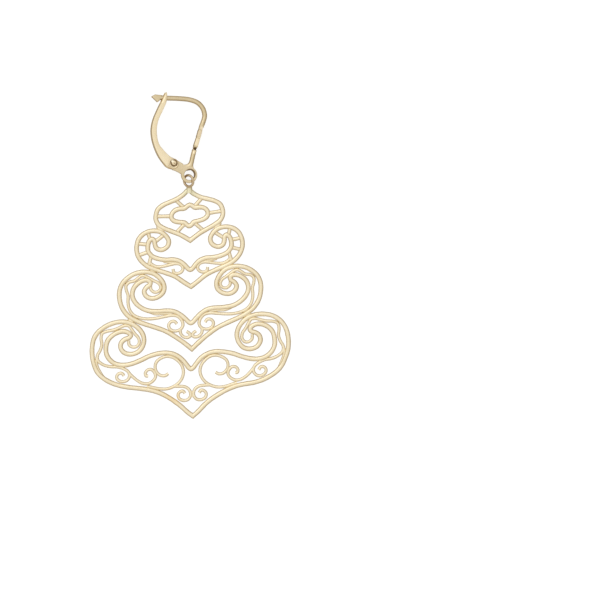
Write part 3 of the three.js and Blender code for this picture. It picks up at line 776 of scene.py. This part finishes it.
lever_painted_shade = [
    # Painted shade: the lever's foot round the rivet is painted tan.
    {"place": in_clasp(-2.75, 4.3, 0.9), "reach": 1.5, "edge": 0.3, "colour": (0.80, 0.66, 0.43)},
    # Painted shade: a small dark brown spot at the lever's outer edge by the ear.
    {"place": in_clasp(-4.7, 4.0, 0.6), "reach": 0.27, "edge": 0.12, "colour": (0.35, 0.25, 0.14)},
]
LEVER_COLOUR = (0.92, 0.79, 0.54)
LEVER_DEEP = (0.88, 0.74, 0.49)
lever_gold = gold("polished_lever_gold", LEVER_COLOUR, LEVER_DEEP, 0.2, 0.15, 0.25, lever_painted_shade)
lever_piece.data.materials.append(lever_gold)
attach(lever_piece, "lever")
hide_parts("lever")

# Rivet: a short bar with a low head on each side, which has a small dimple, a rounded top and a rim.
# Each row of the head is a radius and how far it lies below the top.
HEAD_RADIUS = 0.66
HEAD_HEIGHT = 0.26
outer_level = half_lever + RUN_GAP + HEAD_HEIGHT
HEAD_SECTION = [
    [0.0, 0.03], [0.1, 0.04], [0.2, 0.02], [0.3, 0.0], [0.4, 0.02], [0.46, 0.08], [0.5, 0.15],
    [0.56, 0.17], [0.62, 0.15], [HEAD_RADIUS, 0.19], [0.65, HEAD_HEIGHT], [PIN_RADIUS, HEAD_HEIGHT],
]
head_profile = [[radius, outer_level - below] for radius, below in HEAD_SECTION]
bar = np.array(head_profile + [[radius, -level] for radius, level in head_profile[::-1]])
rivet = laid_in_clasp(lathed("tube_rivet", bar, PIN_CENTRE))
rivet.data.polygons.foreach_set("use_smooth", np.ones(len(rivet.data.polygons), bool))
rivet.data.set_sharp_from_angle(angle=math.radians(50))
RIVET_COLOUR = (0.84, 0.69, 0.45)
RIVET_PAINTED_SHADE = (0.27, 0.18, 0.09)
rivet_patches = [
    # Painted shade: a dark disc round the head, left showing as a dark ring at its rim.
    {"place": in_clasp(*PIN_CENTRE, outer_level - 0.1), "reach": 0.9, "edge": 0.05, "colour": RIVET_PAINTED_SHADE},
    {"place": in_clasp(*PIN_CENTRE, outer_level), "reach": 0.45, "edge": 0.08, "colour": RIVET_COLOUR},
    # Painted highlight on the upper left of the head.
    {"place": in_clasp(-3.25, 4.95, outer_level), "reach": 0.36, "edge": 0.12, "colour": (0.98, 0.88, 0.66)},
    # Painted shade: a small dark spot on the head.
    {"place": in_clasp(-2.86, 4.5, outer_level), "reach": 0.14, "edge": 0.06, "colour": RIVET_PAINTED_SHADE},
]
rivet_gold = gold("rivet_gold", RIVET_COLOUR, (0.76, 0.60, 0.37), 0.18, 0.2, 0.2, rivet_patches)
rivet.data.materials.append(rivet_gold)
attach(rivet, "earring")
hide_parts("hinge_rivet")

# Studio: a plain white floor that glows, as a light table does, so that it stays white in the shadows. It
# is kept out of the metal's reflections. One soft light stands behind on the left.
FLOOR_GLOW = 0.82
FLOOR_SIZE = 3.0
FLOOR_LEVEL = -0.00002
bpy.ops.mesh.primitive_plane_add(size=FLOOR_SIZE, location=(0, 0, FLOOR_LEVEL))
floor = bpy.context.object
floor.name = "floor"
floor_paint = bpy.data.materials.new("floor_paint")
floor_paint.use_nodes = True
floor_shader = floor_paint.node_tree.nodes["Principled BSDF"]
floor_shader.inputs["Base Color"].default_value = (0.3, 0.3, 0.3, 1)
floor_shader.inputs["Roughness"].default_value = 0.9
floor_shader.inputs["Emission Color"].default_value = (1, 1, 1, 1)
floor_shader.inputs["Emission Strength"].default_value = FLOOR_GLOW
floor.data.materials.append(floor_paint)
floor.visible_glossy = False


def soft_light(name, place, target, size, power):
    """A square area light at a place, turned towards a target."""
    lamp = bpy.data.lights.new(name, "AREA")
    lamp.size = size
    lamp.energy = power
    holder = bpy.data.objects.new(name, lamp)
    bpy.context.scene.collection.objects.link(holder)
    holder.location = place
    holder.rotation_euler = (holder.location - Vector(target)).to_track_quat("Z", "Y").to_euler()


OBJECT_MIDDLE = (0.0, -0.012, 0.0)
soft_light("highlight", (-0.25, 0.45, 0.8), OBJECT_MIDDLE, 0.6, 0.5)

# The tent round the table is brightest overhead, a little behind and to the left, and it darkens towards
# the table's edge. Below, where the metal sees the table's far side, it is a warm tan.
BRIGHTEST = (-0.17, 0.17, 0.97)
TENT_SHADES = [
    (0.20, (0.42, 0.36, 0.27)), (0.48, (0.60, 0.54, 0.46)), (0.66, (0.72, 0.69, 0.64)),
    (0.84, (0.88, 0.87, 0.86)), (0.96, (1.0, 1.0, 1.0)),
]
world = bpy.data.worlds.new("studio")
world.use_nodes = True
tent = world.node_tree.nodes
tent_link = world.node_tree.links.new
direction = tent.new("ShaderNodeTexCoord")
toward = tent.new("ShaderNodeVectorMath")
toward.operation = "DOT_PRODUCT"
toward.inputs[1].default_value = BRIGHTEST
share = tent.new("ShaderNodeMapRange")
share.inputs["From Min"].default_value = -1.0
shade = tent.new("ShaderNodeValToRGB")
for stop, (position, colour) in enumerate(TENT_SHADES):
    element = shade.color_ramp.elements[stop] if stop < 2 else shade.color_ramp.elements.new(position)
    element.position = position
    element.color = (*colour, 1)
tent_link(direction.outputs["Generated"], toward.inputs[0])
tent_link(toward.outputs["Value"], share.inputs["Value"])
tent_link(share.outputs["Result"], shade.inputs["Fac"])
tent_link(shade.outputs["Color"], tent["Background"].inputs["Color"])
tent["Background"].inputs["Strength"].default_value = 1.0
bpy.context.scene.world = world
bpy.context.scene.view_settings.view_transform = "Standard"

# Camera: straight above, on the photo's own framing, where 600 pixels span about 111 mm of the floor.
FRAME_WIDTH = 0.1111
FRAME_CENTRE = (0.02015, -0.02105)
FRAME_ROLL = math.radians(-0.876)
LENS = 240
SENSOR = 36
camera_data = bpy.data.cameras.new("camera")
camera_data.lens = LENS
camera_data.sensor_width = SENSOR
camera_data.clip_end = 20
camera = bpy.data.objects.new("camera", camera_data)
bpy.context.scene.collection.objects.link(camera)
camera.location = (*FRAME_CENTRE, FRAME_WIDTH * LENS / SENSOR)
camera.rotation_euler = (0, 0, FRAME_ROLL)
bpy.context.scene.camera = camera
